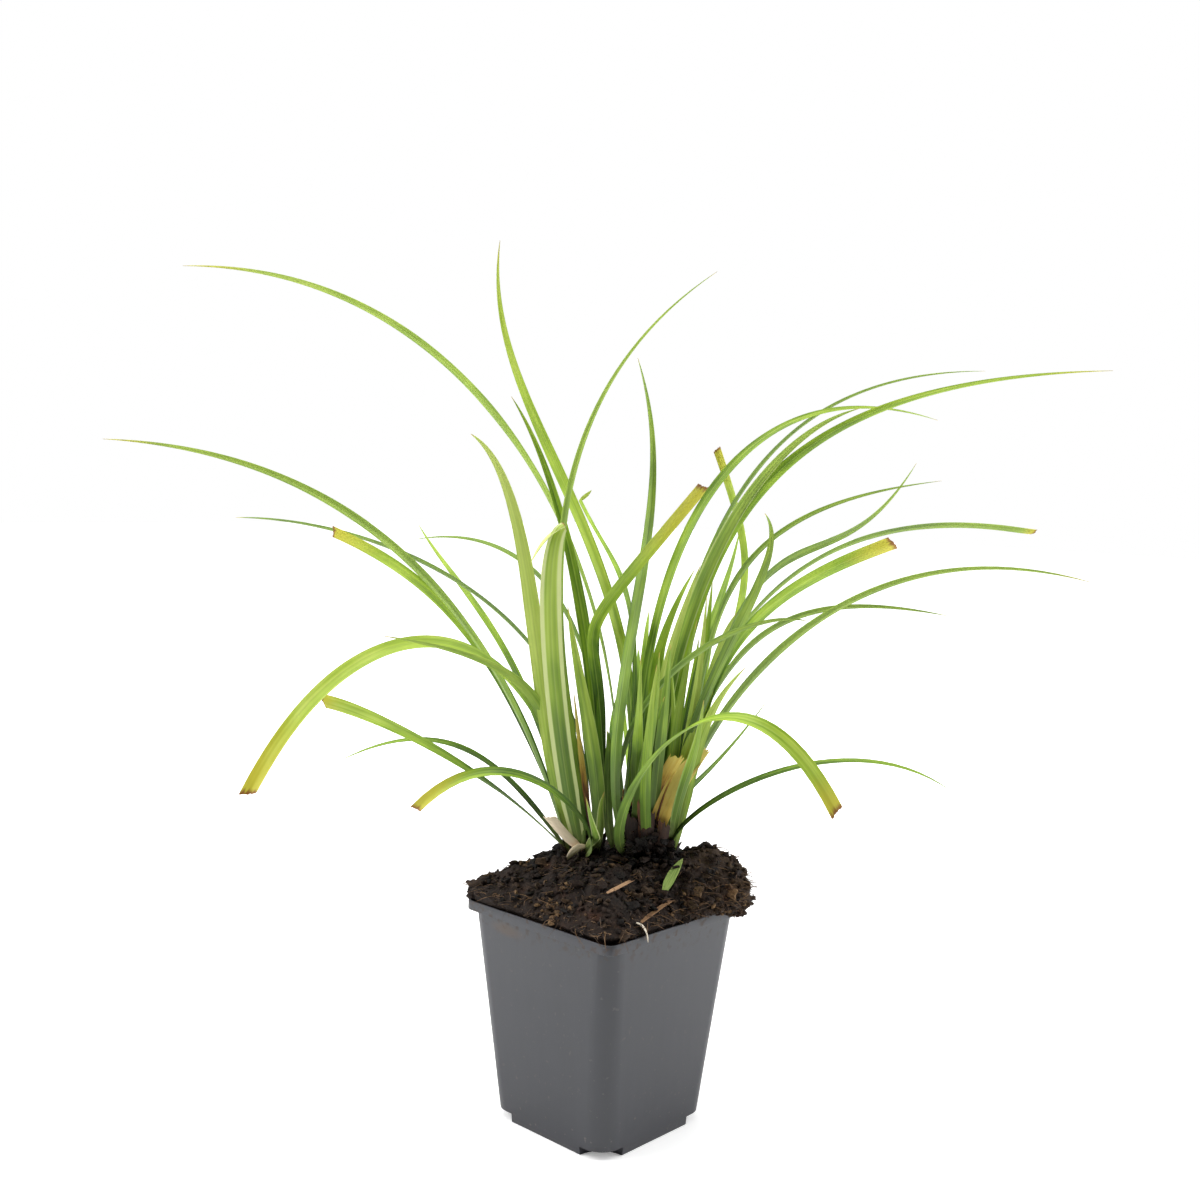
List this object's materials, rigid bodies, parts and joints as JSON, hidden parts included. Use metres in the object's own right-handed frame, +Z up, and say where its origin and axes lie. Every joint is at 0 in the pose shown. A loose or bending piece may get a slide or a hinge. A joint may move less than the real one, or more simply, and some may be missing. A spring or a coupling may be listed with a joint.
{
  "type": "potted sedge",
  "caption": "Clump-forming sedge with long keeled arching leaves, growing in a square tapered nursery pot.",
  "frame": {"origin": "middle of the pot's underside, on the ground", "axes": "+Z up, X and Y square to the pot's faces; the wide side of the leaf spray runs along the pot's diagonal from (-X, -Y) to (+X, +Y)"},
  "size_m": [0.4104, 0.4055, 0.402],
  "materials": {
    "pot_plastic": "matt moulded polypropylene",
    "soil": null,
    "leaf": null,
    "dry_straw": null,
    "green_scrap": null,
    "brown_straw": null,
    "pale_root": null
  },
  "bodies": {
    "root": {"pot": "pot_plastic", "soil": "soil", "tiller_left_outer": "leaf", "tiller_left_front": "leaf", "tiller_left_middle": "leaf", "tiller_left_inner": "leaf", "tiller_left_back": "leaf", "tiller_left_far": "leaf", "tiller_centre_back": "leaf", "tiller_centre": "leaf", "tiller_right_of_centre": "leaf", "tiller_right_front": "leaf", "tiller_right_middle": "leaf", "tiller_right_near": "leaf", "tiller_right_back": "leaf", "tiller_right_broad": "leaf", "tiller_right_outer": "leaf", "tiller_right_edge": "leaf", "tiller_right_long": "leaf", "tiller_right_far": "leaf", "tiller_far_middle": "leaf", "litter_straw": "dry_straw", "litter_leaf_scrap": "green_scrap", "litter_brown_straw": "brown_straw", "short_root": "pale_root"}
  },
  "joints": []
}
